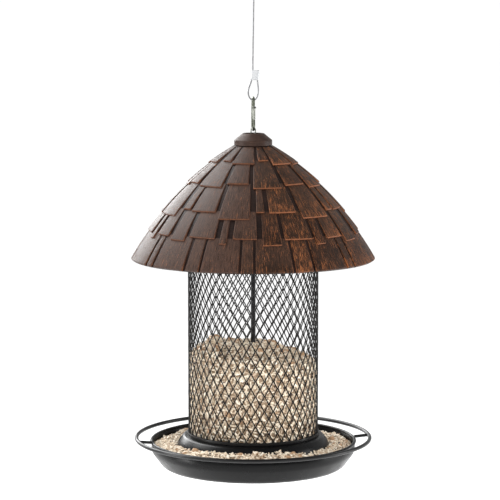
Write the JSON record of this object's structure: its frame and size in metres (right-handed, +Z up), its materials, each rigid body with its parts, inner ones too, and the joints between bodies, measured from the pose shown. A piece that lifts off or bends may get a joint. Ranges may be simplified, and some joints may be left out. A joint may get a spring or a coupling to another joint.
{
  "type": "hanging bird feeder",
  "caption": "Hanging bird feeder with a shingled domed metal roof that slides up a steel cable, a mesh seed tube, a round tray and a wire perch ring.",
  "frame": {"origin": "top inside of the cable's hanging loop, where a bracket carries the feeder", "axes": "+Z up along the cable and the centre rod, -Y towards the front, +X to the right seen from the front"},
  "size_m": [0.25, 0.25, 0.514],
  "materials": {
    "roof_bronze": "dark bronze paint, brushed and worn to copper along the shingle edges",
    "cap_bronze": "satin dark bronze paint",
    "black_metal": "satin black powder coat",
    "tray_black": "satin black powder coat",
    "mesh_black": "black powder coat on expanded steel",
    "zinc": "bright zinc plating",
    "cable_steel": "twisted wire rope under a clear coat",
    "ferrule_alloy": "pale crimped sleeve",
    "rubber": "matt",
    "seed": "dry hulled seed and broken nuts"
  },
  "bodies": {
    "hanger": {"hanging_cable": "cable_steel", "lower_ferrule": "ferrule_alloy", "upper_ferrule": "ferrule_alloy"},
    "hook": {"snap_hook_body": "zinc", "gate_rivet": "zinc"},
    "gate": {"snap_hook_gate": "zinc", "gate_spring": "zinc"},
    "feeder": {"centre_rod": "black_metal", "rod_eye": "zinc", "rain_washer": "rubber", "cross_bar": "black_metal", "cross_bar_nut": "zinc", "mesh_tube": "mesh_black", "mesh_top_rim": "black_metal", "mesh_bottom_rim": "black_metal", "base_skirt": "black_metal", "tray": "tray_black", "tray_washer": "zinc", "tray_nut": "zinc", "perch_ring": "black_metal", "perch_spokes": "black_metal", "seed_hopper": "seed", "seed_tray": "seed"},
    "roof": {"roof_shell": "roof_bronze", "roof_cap": "cap_bronze"}
  },
  "joints": [
    {"name": "hook_swing", "type": "hinge", "parent": "hanger", "child": "hook", "pos_m": [0, 0, -0.1331], "axis": [1, 0, 0], "range_deg": [-5, 5]},
    {"name": "feeder_swing", "type": "hinge", "parent": "hook", "child": "feeder", "pos_m": [0, 0, -0.16375], "axis": [-0.1392, 0.9903, 0], "range_deg": [-4, 4]},
    {"name": "gate_open", "type": "hinge", "parent": "hook", "child": "gate", "pos_m": [0.00066, -0.00473, -0.1408], "axis": [0.9903, 0.1392, 0], "range_deg": [0, 25], "stiffness_Nm_per_rad": 0.01, "springref_deg": -11.46},
    {"name": "roof_lift", "type": "slide", "parent": "feeder", "child": "roof", "axis": [0, 0, 1], "range_m": [0, 0.09]}
  ]
}
